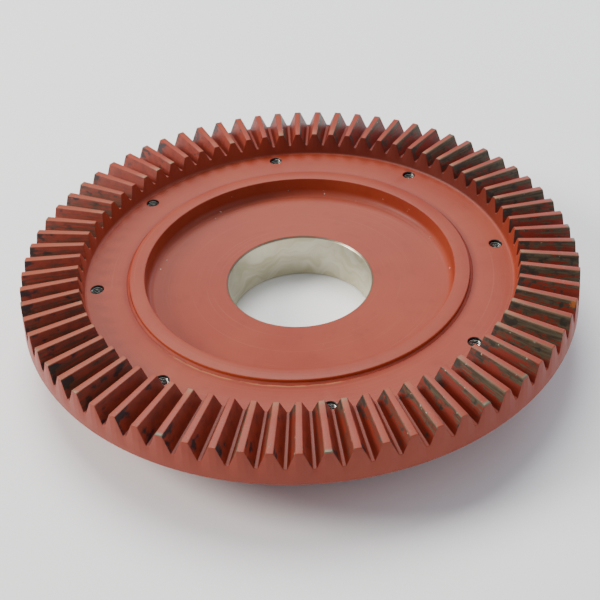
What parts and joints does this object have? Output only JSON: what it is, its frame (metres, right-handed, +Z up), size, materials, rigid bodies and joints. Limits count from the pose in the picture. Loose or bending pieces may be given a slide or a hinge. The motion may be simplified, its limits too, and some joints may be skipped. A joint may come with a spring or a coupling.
{
  "type": "bevel-geared slewing ring bearing",
  "caption": "Ball slewing ring whose outer ring carries straight bevel teeth and tapped table holes; its hub ring sits on a plain bore.",
  "frame": {"origin": "on the bearing axis, level with the underside of the hub ring, on which it stands", "axes": "+Z up the bearing axis, out of the face with the bevel teeth; +X through one of the tapped holes"},
  "size_m": [0.437, 0.437, 0.0717],
  "materials": {
    "red_primer": "satin red-oxide primer, worn on the tooth flanks",
    "painted_rubber": "primer over rubber",
    "seal_rubber": "matt",
    "turned_steel": "turned, oiled",
    "shim_steel": "rolled",
    "black_oxide_steel": "black oxide",
    "ground_steel": "ground",
    "ball_steel": "polished",
    "spacer_nylon": "moulded nylon",
    "zinc_steel": "zinc plated"
  },
  "bodies": {
    "hub": {"hub_ring": "red_primer", "lower_race_ring": "turned_steel", "shim_ring": "shim_steel", "race_ring_screws": "black_oxide_steel", "dowel_pin_1": "ground_steel", "dowel_pin_2": "ground_steel"},
    "ball_row": {"ball_01": "ball_steel", "ball_02": "ball_steel", "ball_03": "ball_steel", "ball_04": "ball_steel", "ball_05": "ball_steel", "ball_06": "ball_steel", "ball_07": "ball_steel", "ball_08": "ball_steel", "ball_09": "ball_steel", "ball_10": "ball_steel", "ball_11": "ball_steel", "ball_12": "ball_steel", "ball_13": "ball_steel", "ball_14": "ball_steel", "ball_15": "ball_steel", "ball_16": "ball_steel", "ball_17": "ball_steel", "ball_18": "ball_steel", "ball_19": "ball_steel", "ball_20": "ball_steel", "ball_21": "ball_steel", "ball_22": "ball_steel", "ball_23": "ball_steel", "ball_24": "ball_steel", "ball_25": "ball_steel", "ball_26": "ball_steel", "ball_27": "ball_steel", "ball_28": "ball_steel", "ball_29": "ball_steel", "ball_30": "ball_steel", "ball_31": "ball_steel", "ball_32": "ball_steel", "ball_33": "ball_steel", "ball_34": "ball_steel", "ball_spacers": "spacer_nylon"},
    "gear": {"geared_ring": "red_primer", "upper_seal": "painted_rubber", "lower_seal": "seal_rubber", "grease_nipple_1": "zinc_steel", "grease_nipple_2": "zinc_steel"}
  },
  "joints": [
    {"name": "ring_slew", "type": "hinge", "parent": "hub", "child": "gear", "pos_m": [0, 0, 0.026], "axis": [0, 0, 1], "continuous": true},
    {"name": "ball_orbit", "type": "hinge", "parent": "hub", "child": "ball_row", "pos_m": [0, 0, 0.026], "axis": [0, 0, 1], "continuous": true}
  ],
  "couplings": [
    {"joint": "ball_orbit", "follows": "ring_slew", "ratio": 0.5261}
  ]
}
